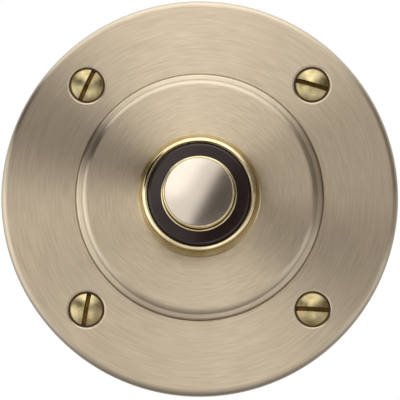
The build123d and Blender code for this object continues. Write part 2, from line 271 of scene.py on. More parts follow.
# The thread is a ridge that climbs round the barrel and fades out at both ends, as a die leaves it.
ridge = bpy.data.node_groups.new("screw_thread", "GeometryNodeTree")
size = sockets(ridge, "Root radius", "Depth", "Pitch", "Length", "Start", "Finish")
turns = node(ridge, "ShaderNodeMath", {0: size["Length"], 1: size["Pitch"]}, operation="DIVIDE")
climb = node(ridge, "GeometryNodeCurveSpiral", {
    "Resolution": 64, "Rotations": turns, "Start Radius": size["Root radius"],
    "End Radius": size["Root radius"], "Height": size["Length"]})
along = node(ridge, "GeometryNodeSplineParameter").outputs["Factor"]
fade = node(ridge, "ShaderNodeMath", {0: along, 1: 0.5}, operation="PINGPONG")
fade = node(ridge, "ShaderNodeMapRange", {0: fade, 1: 0, 2: 0.12, 3: 0.05, 4: 1})
root = node(ridge, "ShaderNodeMath", {0: size["Pitch"], 1: 0.86}, operation="MULTIPLY")
crest = node(ridge, "ShaderNodeMath", {0: size["Pitch"], 1: 0.16}, operation="MULTIPLY")
lay(ridge, wind(ridge, climb, size["Depth"], root, crest, fade), size["Start"], size["Finish"])

barrel_thread = grow("barrel_thread", ridge, {
    "Root radius": thread_root_r * MM, "Depth": (barrel_r - thread_root_r) * MM,
    "Pitch": thread_pitch * MM, "Length": (thread_front - thread_back - 2 * run_out) * MM,
    "Start": -(thread_back + run_out) * MM, "Finish": polished_brass})

bezel.data.materials.append(polished_brass)
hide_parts("bezel_shell")
for piece in (bezel, barrel_thread):
    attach(piece, "housing")


# Insulator body: one glossy black phenolic moulding. Its ring, rounded at the edge, shows inside the
# collar, and behind it are the bore of the guide bush, the web under the spring and the contact chamber.
ring_r, ring_rim, ring_front, guide_r = 8.34, 8.43, 8.5, 6.07
ring_edge, bush_back, bush_bore_r, bush_front = 0.6, 4.4, 5.75, 8.85
web_front, web_back, stem_hole_r = 2.2, 0.7, 1.57
chamber_r, body_r, base_front = 5.69, 7.04, -8.1

# Black phenolic: moulded against a polished tool, so it is glossy, with the faint ripple and the
# slightly brown mottle of wood-flour filler.
black_phenolic, tree, shader, place = new_finish("black_phenolic")
mottle = node(tree, "ShaderNodeTexNoise", {"Vector": place, "Scale": 1 / (0.6 * MM), "Detail": 3})
ripple = node(tree, "ShaderNodeTexNoise", {"Vector": place, "Scale": 1 / (1.5 * MM)})
colour = node(tree, "ShaderNodeMix", {0: mottle, 6: "#251B1A", 7: "#2E221E"}, data_type="RGBA")
gloss = node(tree, "ShaderNodeMapRange", {0: mottle, 1: 0.3, 2: 0.7, 3: 0.05, 4: 0.09})
wave = node(tree, "ShaderNodeBump", {"Strength": 0.1, "Distance": 0.02 * MM, "Height": ripple})
fill(tree, shader, {"Base Color": colour, "Roughness": gloss, "Normal": wave, "IOR": 1.4})

insulator = turned("insulator_ring", [
    (ring_r, ring_rim, ring_edge),
    (guide_r, ring_front, 0.06),
    (guide_r, bush_back),
    (bush_bore_r, bush_back),
    (bush_bore_r, web_front, 0.15),
    (stem_hole_r, web_front, 0.1),
    (stem_hole_r, web_back),
    (chamber_r, web_back, 0.2),
    (chamber_r, base_front),
    (body_r, base_front, 0.1),
    (body_r, ledge_front),
    (ring_r, ledge_front, 0.1),
])
insulator.data.materials.append(black_phenolic)
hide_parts("insulator_body")
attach(insulator, "housing")


# Guide bush: a thin drawn brass tube pressed into the moulding, whose broken front edge shows as a
# gold line round the foot of the button.
bush_r, bush_edge = 6.05, 0.12
bush = turned("guide_bush_tube", [
    (bush_bore_r, bush_front, bush_edge),
    (bush_bore_r, bush_back, 0.05),
    (bush_r, bush_back, 0.05),
    (bush_r, bush_front, bush_edge),
])
bush.data.materials.append(polished_brass)
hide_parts("guide_bush")
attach(bush, "housing")


# Button cap: a turned brass cup that slides in the bush, with a thin rim round the face disc, a
# pocket for the spring and a boss that takes the stem.
cap_r, cap_rim, cap_front, cap_edge = 5.68, 0.32, 11.55, 0.15
face_seat, skirt_back, pocket_roof = 10.55, 4.8, 9.05
pocket_r, boss_r, boss_back, stem_r, stem_front = 4.9, 2.6, 5.4, 1.5, 9.75
cap = turned("button_cup", [
    (0, face_seat),
    (cap_r - cap_rim, face_seat),
    (cap_r - cap_rim, cap_front, 0.08),
    (cap_r, cap_front, cap_edge),
    (cap_r, skirt_back, 0.15),
    (pocket_r, skirt_back, 0.15),
    (pocket_r, pocket_roof, 0.3),
    (boss_r, pocket_roof, 0.2),
    (boss_r, boss_back, 0.15),
    (stem_r + 0.02, boss_back),
    (stem_r + 0.02, stem_front),
    (0, stem_front),
])
cap.data.materials.append(polished_brass)
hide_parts("button_cap")
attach(cap, "button")


# Button face: a disc of polished nickel silver with a softly domed front, pressed into the rim of
# the cap.
face_r, button_front, face_dome = 5.34, 11.85, 0.18

# Polished nickel: mirror-buffed and faintly warm, with hairlines from wiping that only show in
# the gloss.
polished_nickel, tree, shader, place = new_finish("polished_nickel")
wiping = node(tree, "ShaderNodeMapping", {"Vector": place, "Rotation": (0, 0.6, 0), "Scale": (1, 1, 12)})
hairline = node(tree, "ShaderNodeTexNoise", {"Vector": wiping, "Scale": 1 / (1.2 * MM), "Detail": 5})
bloom = node(tree, "ShaderNodeTexNoise", {"Vector": place, "Scale": 1 / (3 * MM)})
colour = node(tree, "ShaderNodeMix", {0: bloom, 6: "#F4E8D8", 7: "#EADECC"}, data_type="RGBA")
gloss = node(tree, "ShaderNodeMapRange", {0: hairline, 1: 0.35, 2: 0.75, 3: 0.105, 4: 0.12})
fill(tree, shader, {"Base Color": colour, "Roughness": gloss, "Metallic": 1})


def dome(rim_r, rise, top):
    """Points over half of a shallow dome, from its rim to its top on the axis."""
    curve_r = (rim_r ** 2 + rise ** 2) / (2 * rise)
    end = math.degrees(math.asin(rim_r / curve_r))
    return arc(0, top - curve_r, curve_r, curve_r, 90 - end, 90)


face = turned("button_face_disc", [
    (0, face_seat),
    (face_r, face_seat),
    *dome(face_r, face_dome, button_front),
])
face.data.materials.append(polished_nickel)
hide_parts("button_face")
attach(face, "button")


# Plunger stem: a turned brass rod pressed into the boss of the cap, with a groove for the clip and a
# thinner tail at the back, where the moving contact is clamped.
groove_r, groove_front, groove_back = 1.05, 0.72, 0.18
tail_r, tail_front, stem_back = 1.25, -0.5, -4.9


def off_axis(tree, place):
    """How far a place lies from the turning axis, and the direction straight out to it."""
    across = node(tree, "ShaderNodeVectorMath", {0: place, 1: (1, 0, 1)}, operation="MULTIPLY")
    far = node(tree, "ShaderNodeVectorMath", {0: across}, operation="LENGTH")
    return far, node(tree, "ShaderNodeVectorMath", {0: across}, operation="NORMALIZE")


# Turned brass: left as it came off the lathe, so fine tool rings run round the axis and over the
# ends, and handling has dulled it in places. Rings are drawn 0.1 mm apart, so that they show.
turned_brass, tree, shader, place = new_finish("turned_brass")
height = node(tree, "ShaderNodeSeparateXYZ", {0: place}).outputs["Y"]
radius = off_axis(tree, place)[0]
travel = node(tree, "ShaderNodeCombineXYZ", {"X": radius, "Y": height})
rings = node(tree, "ShaderNodeTexNoise", {"Vector": travel, "Scale": 1 / (0.1 * MM), "Detail": 2})
handling = node(tree, "ShaderNodeTexNoise", {"Vector": place, "Scale": 1 / (2 * MM), "Detail": 4})
tone = node(tree, "ShaderNodeMapRange", {0: handling, 1: 0.35, 2: 0.7})
colour = node(tree, "ShaderNodeMix", {0: tone, 6: "#D6BC84", 7: "#B5975D"}, data_type="RGBA")
gloss = node(tree, "ShaderNodeMapRange", {0: rings, 1: 0.3, 2: 0.7, 3: 0.22, 4: 0.38})
grain = node(tree, "ShaderNodeBump", {"Strength": 0.2, "Distance": 0.01 * MM, "Height": rings})
fill(tree, shader, {"Base Color": colour, "Roughness": gloss, "Normal": grain, "Metallic": 1})

stem = turned("stem_rod", [
    (0, stem_front),
    (stem_r, stem_front, 0.2),
    (stem_r, groove_front, 0.05),
    (groove_r, groove_front),
    (groove_r, groove_back),
    (stem_r, groove_back, 0.05),
    (stem_r, tail_front, 0.05),
    (tail_r, tail_front),
    (tail_r, stem_back, 0.25),
    (0, stem_back),
], sides=64)
stem.data.materials.append(turned_brass)
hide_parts("plunger_stem")
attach(stem, "button")


# Return spring: round steel wire wound on a mandrel, standing on the web of the moulding round the boss
# and pushing on the roof of the cap's pocket. The real spring shortens as the button goes in; here it is
# drawn at rest.
spring_r, spring_wire_r, spring_turns = 3.75, 0.3, 4.5
spring_low, spring_high, press, die_stretch = 2.52, 8.73, 2.0, 20

# Spring wire: hard-drawn steel, grey and half bright, with die lines that run along the wire.
spring_wire, tree, shader, place = new_finish("drawn_spring_wire")
axes = node(tree, "ShaderNodeSeparateXYZ", {0: place}).outputs
turn = node(tree, "ShaderNodeMath", {0: axes["Z"], 1: axes["X"]}, operation="ARCTAN2")
turn = node(tree, "ShaderNodeMath", {0: turn, 1: spring_r * MM / die_stretch}, operation="MULTIPLY")
radius = off_axis(tree, place)[0]
drawn = node(tree, "ShaderNodeCombineXYZ", {"X": radius, "Y": axes["Y"], "Z": turn})
lines = node(tree, "ShaderNodeTexNoise", {"Vector": drawn, "Scale": 1 / (0.06 * MM), "Detail": 2})
colour = node(tree, "ShaderNodeMix", {0: lines, 6: "#8F9094", 7: "#B7B8BA"}, data_type="RGBA")
gloss = node(tree, "ShaderNodeMapRange", {0: lines, 1: 0.3, 2: 0.7, 3: 0.24, 4: 0.4})
fill(tree, shader, {"Base Color": colour, "Roughness": gloss, "Metallic": 1})

coil = bpy.data.node_groups.new("return_spring", "GeometryNodeTree")
size = sockets(coil, "Coil radius", "Wire radius", "Turns", "Low end", "High end", "Finish")
rise = node(coil, "ShaderNodeMath", {0: size["High end"], 1: size["Low end"]}, operation="SUBTRACT")
climb = node(coil, "GeometryNodeCurveSpiral", {
    "Resolution": 40, "Rotations": size["Turns"], "Start Radius": size["Coil radius"],
    "End Radius": size["Coil radius"], "Height": rise})
level = node(coil, "GeometryNodeSetCurveNormal", {"Curve": climb}, mode="Z_UP")
wire = node(coil, "GeometryNodeCurvePrimitiveCircle", {"Resolution": 14, "Radius": size["Wire radius"]})
wound = node(coil, "GeometryNodeCurveToMesh", {"Curve": level, "Profile Curve": wire, "Fill Caps": True})
foot = node(coil, "ShaderNodeMath", {0: size["Low end"], 1: -1}, operation="MULTIPLY")
lay(coil, wound, foot, size["Finish"])

spring = grow("spring_coil", coil, {
    "Coil radius": spring_r * MM, "Wire radius": spring_wire_r * MM, "Turns": spring_turns,
    "Low end": spring_low * MM, "High end": spring_high * MM, "Finish": spring_wire})
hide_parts("return_spring")
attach(spring, "housing")
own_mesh(spring)


# Retaining clip: a stamped E-clip snapped into the stem's groove, which stops the button at rest
# against the back of the web.

# Blued spring steel: stamped, hardened and tempered, so it is dark with blue and straw bloom.
blued_steel, tree, shader, place = new_finish("blued_spring_steel")
bloom = node(tree, "ShaderNodeTexNoise", {"Vector": place, "Scale": 1 / (3 * MM), "Detail": 3})
grit = node(tree, "ShaderNodeTexNoise", {"Vector": place, "Scale": 1 / (0.15 * MM), "Detail": 2})
tone = node(tree, "ShaderNodeMapRange", {0: bloom, 1: 0.35, 2: 0.65})
colour = node(tree, "ShaderNodeMix", {0: tone, 6: "#555C6E", 7: "#7A6E62"}, data_type="RGBA")
gloss = node(tree, "ShaderNodeMapRange", {0: grit, 1: 0.3, 2: 0.7, 3: 0.28, 4: 0.45})
rough = node(tree, "ShaderNodeBump", {"Strength": 0.15, "Distance": 0.01 * MM, "Height": grit})
fill(tree, shader, {"Base Color": colour, "Roughness": gloss, "Normal": rough, "Metallic": 1})
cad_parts["retaining_clip"].material_slots[0].material = blued_steel


# Fibre bush and washer: punched and turned from red vulcanised fibre, they keep the contact disc
# clear of the brass stem.

# Red fibre: pressed from dyed cotton paper, so it is dull, with short pale hairs lying flat in it.
red_fibre, tree, shader, place = new_finish("red_vulcanised_fibre")
flat = node(tree, "ShaderNodeMapping", {"Vector": place, "Scale": (1, 6, 3)})
hairs = node(tree, "ShaderNodeTexNoise", {"Vector": flat, "Scale": 1 / (0.4 * MM), "Detail": 5})
tone = node(tree, "ShaderNodeMapRange", {0: hairs, 1: 0.4, 2: 0.7})
colour = node(tree, "ShaderNodeMix", {0: tone, 6: "#6E241C", 7: "#94473A"}, data_type="RGBA")
gloss = node(tree, "ShaderNodeMapRange", {0: hairs, 1: 0.3, 2: 0.7, 3: 0.55, 4: 0.75})
nap = node(tree, "ShaderNodeBump", {"Strength": 0.3, "Distance": 0.02 * MM, "Height": hairs})
fill(tree, shader, {"Base Color": colour, "Roughness": gloss, "Normal": nap})
for name in ("fibre_bush", "fibre_washer"):
    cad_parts[name].material_slots[0].material = red_fibre


# Contact disc and nut: the moving contact is a stamped brass disc on the fibre bush, clamped to the
# stem by a small brass nut. It bridges the two strips when the button is pressed.

# Contact brass: rolled strip, so it is satin, with straight rolling lines and a faint oxide bloom.
contact_brass, tree, shader, place = new_finish("rolled_contact_brass")
rolled = node(tree, "ShaderNodeMapping", {"Vector": place, "Scale": (0.03, 1, 1)})
lines = node(tree, "ShaderNodeTexNoise", {"Vector": rolled, "Scale": 1 / (0.12 * MM), "Detail": 3})
oxide = node(tree, "ShaderNodeTexNoise", {"Vector": place, "Scale": 1 / (2.5 * MM), "Detail": 3})
tone = node(tree, "ShaderNodeMapRange", {0: oxide, 1: 0.35, 2: 0.7})
colour = node(tree, "ShaderNodeMix", {0: tone, 6: "#D9BE82", 7: "#B8924E"}, data_type="RGBA")
gloss = node(tree, "ShaderNodeMapRange", {0: lines, 1: 0.3, 2: 0.7, 3: 0.26, 4: 0.42})
grain = node(tree, "ShaderNodeBump", {"Strength": 0.15, "Distance": 0.01 * MM, "Height": lines})
fill(tree, shader, {"Base Color": colour, "Roughness": gloss, "Normal": grain, "Metallic": 1})
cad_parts["contact_disc"].material_slots[0].material = contact_brass
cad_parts["contact_nut"].material_slots[0].material = turned_brass


# Contact strips: two pieces of the same rolled brass, bent to a pad, a leg and a foot, each held
# against the terminal base by its terminal screw.
for name in ("contact_strip_right", "contact_strip_left"):
    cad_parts[name].material_slots[0].material = contact_brass


# Terminal base: a moulded disc of brown phenolic that closes the barrel, held by the rolled edge,
# with a rib between the terminals so that the wires cannot touch.
base_back, terminal_x, terminal_hole_r = -10.1, 3.28, 1.06
rib_wide, rib_long, rib_high, rib_sunk, rib_edge = 0.8, 10.28, 1.2, 0.4, 0.2
drill_overrun = 1

# Brown phenolic: a wood-filled moulding, half matt, with a darker mottle a millimetre or so wide.
brown_phenolic, tree, shader, place = new_finish("brown_phenolic")
mottle = node(tree, "ShaderNodeTexNoise", {"Vector": place, "Scale": 1 / (1.2 * MM), "Detail": 5})
fleck = node(tree, "ShaderNodeTexNoise", {"Vector": place, "Scale": 1 / (0.2 * MM), "Detail": 2})
tone = node(tree, "ShaderNodeMapRange", {0: mottle, 1: 0.35, 2: 0.68})
colour = node(tree, "ShaderNodeMix", {0: tone, 6: "#4C2A1A", 7: "#301810"}, data_type="RGBA")
gloss = node(tree, "ShaderNodeMapRange", {0: fleck, 1: 0.3, 2: 0.7, 3: 0.28, 4: 0.46})
skin = node(tree, "ShaderNodeBump", {"Strength": 0.12, "Distance": 0.02 * MM, "Height": fleck})
fill(tree, shader, {"Base Color": colour, "Roughness": gloss, "Normal": skin})


def block(name, size, centre, edge=0):
    """A box by its size and centre, with its edges rounded where a rounding is given."""
    shape = bmesh.new()
    bmesh.ops.create_cube(shape, size=1)
    bmesh.ops.scale(shape, verts=shape.verts, vec=Vector(size) * MM)
    bmesh.ops.translate(shape, verts=shape.verts, vec=Vector(centre) * MM)
    if edge:
        bmesh.ops.bevel(
            shape, geom=shape.edges[:], offset=edge * MM, segments=4, profile=0.5, affect="EDGES")
    return set_down(name, shape)


def cut(piece, tool, way="DIFFERENCE"):
    """Takes the tool's shape out of the piece, or joins or crosses the two, and leaves a bare mesh."""
    knife = piece.modifiers.new("cut", "BOOLEAN")
    knife.operation, knife.solver, knife.object = way, "EXACT", tool
    graph = bpy.context.evaluated_depsgraph_get()
    piece.data = bpy.data.meshes.new_from_object(piece.evaluated_get(graph), depsgraph=graph)
    piece.modifiers.remove(knife)
    shape = bmesh.new()
    shape.from_mesh(piece.data)
    bmesh.ops.remove_doubles(shape, verts=shape.verts, dist=0.001 * MM)
    shape.to_mesh(piece.data)
    shape.free()
    piece.data.materials.clear()
    bpy.data.objects.remove(tool)
    smooth(piece.data)


base = turned("terminal_disc", [
    (0, base_back),
    (body_r, base_back, 0.15),
    (body_r, base_front, 0.15),
    (0, base_front),
], sides=128)
rib_front, rib_back = base_front - rib_sunk, base_back - rib_high
rib_mid = (0, -(rib_front + rib_back) / 2, 0)
cut(base, block("rib", (rib_wide, rib_front - rib_back, rib_long), rib_mid, rib_edge), "UNION")
for side in (-1, 1):
    hole = turned("hole", [
        (0, base_front + drill_overrun),
        (terminal_hole_r, base_front + drill_overrun),
        (terminal_hole_r, base_back - drill_overrun),
        (0, base_back - drill_overrun),
    ], sides=48)
    hole.data.transform(Matrix.Translation((side * terminal_x * MM, 0, 0)))
    cut(base, hole)
base.data.materials.append(brown_phenolic)
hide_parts("terminal_base")
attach(base, "housing")


# Terminals: two slotted cheese-headed brass screws with washers, which go through the base and pull
# each wire down and the foot of its strip up.
washer_r, washer_thick = 2.1, 0.4
terminal_head_r, terminal_head, terminal_shank_r = 1.9, 1.3, 1.0
terminal_slot, terminal_slot_floor, terminal_slot_turn, saw_tall = 0.5, 0.7, 60, 2
strip_foot = -7.6

# Terminal brass: turned in a screw machine, so tool rings run round each head, tarnished a little.
terminal_brass, tree, shader, place = new_finish("terminal_brass")
axes = node(tree, "ShaderNodeSeparateXYZ", {0: place}).outputs
aside = node(tree, "ShaderNodeVectorMath", {0: place}, operation="ABSOLUTE")
aside = node(tree, "ShaderNodeVectorMath", {0: aside, 1: (terminal_x * MM, 0, 0)}, operation="SUBTRACT")
radius = off_axis(tree, aside)[0]
travel = node(tree, "ShaderNodeCombineXYZ", {"X": radius, "Y": axes["Y"]})
rings = node(tree, "ShaderNodeTexNoise", {"Vector": travel, "Scale": 1 / (0.1 * MM), "Detail": 2})
stain = node(tree, "ShaderNodeTexNoise", {"Vector": place, "Scale": 1 / (1.2 * MM), "Detail": 4})
tone = node(tree, "ShaderNodeMapRange", {0: stain, 1: 0.35, 2: 0.7})
colour = node(tree, "ShaderNodeMix", {0: tone, 6: "#D4B97E", 7: "#A98A50"}, data_type="RGBA")
gloss = node(tree, "ShaderNodeMapRange", {0: rings, 1: 0.3, 2: 0.7, 3: 0.2, 4: 0.36})
grain = node(tree, "ShaderNodeBump", {"Strength": 0.2, "Distance": 0.01 * MM, "Height": rings})
fill(tree, shader, {"Base Color": colour, "Roughness": gloss, "Normal": grain, "Metallic": 1})

pair = bpy.data.node_groups.new("terminal_pair", "GeometryNodeTree")
size = sockets(pair, "Geometry", "Half spacing", "Seat", "Finish")
spacing = node(pair, "ShaderNodeMath", {0: size["Half spacing"], 1: 2}, operation="MULTIPLY")
start = node(pair, "ShaderNodeMath", {0: size["Half spacing"], 1: -1}, operation="MULTIPLY")
start = node(pair, "ShaderNodeCombineXYZ", {"X": start})
step = node(pair, "ShaderNodeCombineXYZ", {"X": spacing})
spots = node(pair, "GeometryNodeMeshLine", {
    "Count": 2, "Start Location": start, "Offset": step}, mode="OFFSET")
both = node(pair, "GeometryNodeInstanceOnPoints", {"Points": spots, "Instance": size["Geometry"]})
lay(pair, both, size["Seat"], size["Finish"], tip=-math.pi / 2)

washer = turned("washer_blank", [
    (terminal_hole_r, 0, 0.05),
    (washer_r, 0, 0.12),
    (washer_r, washer_thick, 0.12),
    (terminal_hole_r, washer_thick, 0.05),
], sides=64, axis="Z")
cheese = turned("cheese_blank", [
    (0, base_back - strip_foot - washer_thick),
    (terminal_shank_r, base_back - strip_foot - washer_thick, 0.15),
    (terminal_shank_r, 0),
    (terminal_head_r, 0, 0.1),
    (terminal_head_r, terminal_head, 0.25),
    (0, terminal_head),
], sides=64, axis="Z")
saw_mid = terminal_slot_floor + saw_tall / 2
slit = block("saw", (4 * terminal_head_r, terminal_slot, saw_tall), (0, 0, saw_mid))
slit.data.transform(Matrix.Rotation(math.radians(terminal_slot_turn), 4, "Z"))
cut(cheese, slit)
for blank, name, node_name, seat_at, finish, slot_name in (
        (washer, "terminal_washer_pair", "terminal_washers", -base_back, contact_brass, "contact_brass"),
        (cheese, "terminal_screw_pair", "terminal_screws", washer_thick - base_back,
         terminal_brass, "turned_brass")):
    made = grow(name, pair, {
        "Half spacing": terminal_x * MM, "Seat": seat_at * MM, "Finish": finish}, start=blank.data)
    bpy.data.objects.remove(blank)
    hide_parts(node_name)
    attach(made, "housing")


# Face plate: a stepped round plate turned from brass, with a rounded edge, a small bead round the
# raised disc, four countersunk holes and a counterbore at the back for the nut.
plate_r, flange_front, plate_edge = 31.75, 4.0, 1.0
bead_out_r, bead_r, bead_mid, bead_sweep, quirk = 19.72, 0.44, 4.16, 75, 0.19
ledge_r, ledge, disc_front, disc_edge, disc_meet = 18.9, 4.73, 5.4, 1.05, 34
barrel_hole_r, recess_r, recess_front = 7.91, 12.47, 2.2
screw_circle_r, screw_hole_r, sink_r, sink_edge, sink_bright = 25.5, 1.6, 2.95, 0.55, 0.08
hole_offset = screw_circle_r * math.sqrt(0.5)
line_gap, line_run, mark_gap = 0.28, 6, 0.9

# Lathe-brushed brass: abrasive held against the turning plate leaves fine concentric lines, so the
# gloss spreads across the lines and shows as bright and dark fans. Lines are drawn 0.28 mm apart,
# coarser than real, so that they show.
brushed_brass, tree, shader, place = new_finish("lathe_brushed_brass")
radius, outward = off_axis(tree, place)
around = node(tree, "ShaderNodeVectorMath", {0: outward, 1: (0, 1, 0)}, operation="CROSS_PRODUCT")
depth = node(tree, "ShaderNodeMath", {0: radius, 1: 1 / (line_gap * MM)}, operation="MULTIPLY")
depth = node(tree, "ShaderNodeCombineXYZ", {"Y": depth})
track = node(tree, "ShaderNodeVectorMath", {
    0: outward, 1: (line_run,) * 3, 2: depth}, operation="MULTIPLY_ADD")
lines = node(tree, "ShaderNodeTexNoise", {"Vector": track, "Scale": 1, "Detail": 1, "Roughness": 0.6})
patina = node(tree, "ShaderNodeTexNoise", {"Vector": place, "Scale": 1 / (9 * MM), "Detail": 3})
tone = node(tree, "ShaderNodeMapRange", {0: lines, 1: 0.15, 2: 0.85})
fresh = node(tree, "ShaderNodeMix", {0: patina, 6: "#CDBDA4", 7: "#C6B69E"}, data_type="RGBA")
colour = node(tree, "ShaderNodeMix", {0: tone, 6: "#B3A48D", 7: fresh}, data_type="RGBA")
gloss = node(tree, "ShaderNodeMapRange", {0: lines, 1: 0.25, 2: 0.75, 3: 0.36, 4: 0.33})
facing = node(tree, "ShaderNodeNewGeometry").outputs["True Normal"]
facing = node(tree, "ShaderNodeVectorMath", {0: facing, 1: (0, -1, 0)}, operation="DOT_PRODUCT")
rubbed = node(tree, "ShaderNodeMapRange", {0: facing, 1: 0.985, 2: 0.9}, interpolation_type="SMOOTHSTEP")
colour = node(tree, "ShaderNodeMix", {0: rubbed, 6: colour, 7: "#C2B7A2"}, data_type="RGBA")
gloss = node(tree, "ShaderNodeMix", {0: rubbed, 2: gloss, 3: 0.28})
grooves = node(tree, "ShaderNodeBump", {"Strength": 0.025, "Distance": 0.02 * MM, "Height": lines})
fill(tree, shader, {
    "Base Color": colour, "Roughness": gloss, "Normal": grooves, "Tangent": around,
    "Metallic": 1, "Anisotropic": 1, "Anisotropic Rotation": 0.25})

# Faced brass: the back is only faced off in the lathe and never lacquered, so it shows rings of tool
# marks under a brown tarnish. The marks are drawn 0.9 mm apart, coarser than real, so that they show.
faced_brass, tree, shader, place = new_finish("faced_brass")
radius, outward = off_axis(tree, place)
around = node(tree, "ShaderNodeVectorMath", {0: outward, 1: (0, 1, 0)}, operation="CROSS_PRODUCT")
feed = node(tree, "ShaderNodeMath", {0: radius, 1: 2 * math.pi / (mark_gap * MM)}, operation="MULTIPLY")
mark = node(tree, "ShaderNodeMath", {0: feed}, operation="SINE")
tarnish = node(tree, "ShaderNodeTexNoise", {"Vector": place, "Scale": 1 / (14 * MM), "Detail": 6})
tone = node(tree, "ShaderNodeMapRange", {0: tarnish, 1: 0.3, 2: 0.75})
colour = node(tree, "ShaderNodeMix", {0: tone, 6: "#BEA878", 7: "#A38A5A"}, data_type="RGBA")
gloss = node(tree, "ShaderNodeMapRange", {0: tone, 3: 0.36, 4: 0.46})
marks = node(tree, "ShaderNodeBump", {"Strength": 0.35, "Distance": 0.03 * MM, "Height": mark})
fill(tree, shader, {
    "Base Color": colour, "Roughness": gloss, "Normal": marks, "Tangent": around,
    "Metallic": 1, "Anisotropic": 0.8, "Anisotropic Rotation": 0.25})

# Sink shade: painted shade, a matt dark brown on the countersink walls that shows the shadowed gap round
# each screw head as a dark line.
sink_painted_shade, tree, shader, place = new_finish("sink_painted_shade")
shade_speckle = node(tree, "ShaderNodeTexNoise", {"Vector": place, "Scale": 1 / (0.3 * MM), "Detail": 3})
colour = node(tree, "ShaderNodeMix", {0: shade_speckle, 6: "#2C1F10", 7: "#4A3820"}, data_type="RGBA")
fill(tree, shader, {"Base Color": colour, "Roughness": 0.75})

edge_w = disc_edge / math.cos(math.radians(disc_meet))
edge_h = (disc_front - ledge) / (1 - math.sin(math.radians(disc_meet)))
plate = turned("plate_turned", [
    (barrel_hole_r, disc_front, 0.05),
    (barrel_hole_r, recess_front),
    (recess_r, recess_front, 0.15),
    (recess_r, 0, 0.1),
    (plate_r, 0, 0.25),
    (plate_r, flange_front, plate_edge),
    (bead_out_r + quirk, flange_front, 0.05),
    (bead_out_r, flange_front - quirk),
    *arc(bead_out_r - bead_r, bead_mid, bead_r, bead_r, 0, bead_sweep, steps=14),
    (ledge_r, ledge, 0.05),
    *arc(ledge_r - disc_edge, disc_front - edge_h, edge_w, edge_h, disc_meet, 90, steps=14),
], sides=256)
mouth_r = sink_r + sink_edge * math.tan(math.pi / 8)
drill = turned("drill", [
    (0, flange_front + drill_overrun),
    (mouth_r, flange_front + drill_overrun),
    *arc(mouth_r, flange_front - sink_edge, sink_edge, sink_edge, 90, 135, steps=6),
    (screw_hole_r, flange_front - sink_r + screw_hole_r),
    (screw_hole_r, -drill_overrun),
    (0, -drill_overrun),
], sides=64)
for corner in range(4):
    turn = math.radians(45 + 90 * corner)
    tool = drill.copy()
    tool.data = drill.data.copy()
    bpy.context.scene.collection.objects.link(tool)
    shift = Vector((math.cos(turn), 0, math.sin(turn))) * screw_circle_r * MM
    tool.data.transform(Matrix.Translation(shift))
    cut(plate, tool)
bpy.data.objects.remove(drill)
for finish in (brushed_brass, faced_brass, sink_painted_shade):
    plate.data.materials.append(finish)

# Where a hole's rounding leaves the flat the edge stays crisp, so that the flat is not shaded round.
dead_flat, facing_back = -0.9999, 0.7
shape = bmesh.new()
shape.from_mesh(plate.data)
for edge in shape.edges:
    x, y, z = (edge.verts[0].co + edge.verts[1].co) / (2 * MM)
    flat = [side.normal.y < dead_flat for side in edge.link_faces]
    at_hole = math.hypot(abs(x) - hole_offset, abs(z) - hole_offset) < sink_r + 2 * sink_edge
    if at_hole and any(flat) and not all(flat):
        edge.smooth = False
shape.to_mesh(plate.data)
shape.free()
# The countersink walls below a thin bright margin take the painted shade, and faces turned to the back
# take the faced brass.
for side in plate.data.polygons:
    x, y, z = side.center / MM
    at_hole = math.hypot(abs(x) - hole_offset, abs(z) - hole_offset) < sink_r
    in_sink = at_hole and 0 < -y < flange_front - sink_bright
    side.material_index = 2 if in_sink else 1 if side.normal.y > facing_back else 0
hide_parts("face_plate")
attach(plate, "housing")


# Lock washer: a flat ring with teeth on its inner edge, stamped from spring steel and blued. It lies
# between the plate and the nut and keeps the nut from working loose.
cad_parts["lock_washer"].material_slots[0].material = blued_steel


# Ring nut: a thin brass hexagon, milled from bar and chamfered on the lathe, which pulls the collar
# down on the plate from inside the counterbore.
nut_r, nut_bore_r, nut_back, nut_front, nut_chamfer = 9.5, 7.91, 0.2, 1.6, 0.3
nut_corner_r = nut_r * 2 / math.sqrt(3)
nut = turned("ring_nut_hexagon", [
    (0, nut_front),
    (nut_corner_r, nut_front),
    (nut_corner_r, nut_back),
    (0, nut_back),
], sides=6)
cut(nut, turned("nut_lathe", [
    (nut_bore_r, nut_front),
    (nut_bore_r, nut_back, 0.1),
    (nut_r, nut_back, 0.06),
    (nut_r + math.sqrt(3) * nut_chamfer, nut_back + nut_chamfer),
    (2 * nut_r, nut_back + math.sqrt(3) * nut_chamfer),
    (2 * nut_r, nut_front),
], sides=192), "INTERSECT")
nut.data.materials.append(turned_brass)
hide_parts("ring_nut")
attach(nut, "housing")


# Fixing screws: four slotted, raised countersunk brass wood screws, turned and thread-rolled, each
# left with its slot at the angle where it pulled tight.
head_r, head_dome, head_rim, shank_r, core_r = 2.72, 0.75, 3.79, 1.42, 1.05
screw_plain, screw_point, screw_end, tip_r = -4.0, -13.0, -19.0, 0.15
screw_pitch, screw_crest, thread_gap = 1.15, 0.05, 0.3
slot_width, slot_floor = 0.75, -0.4
slot_turns = (-16, 65, 80, -3)
# Where the painted shade begins and where it is full, round the edge of each head and down in its slot.
rim_shade_from_r, rim_shade_full_r, slot_shade_from, slot_shade_full, head_low, head_back = 2.4, 2.62, 3.85, 3.6, 3.2, 3.1
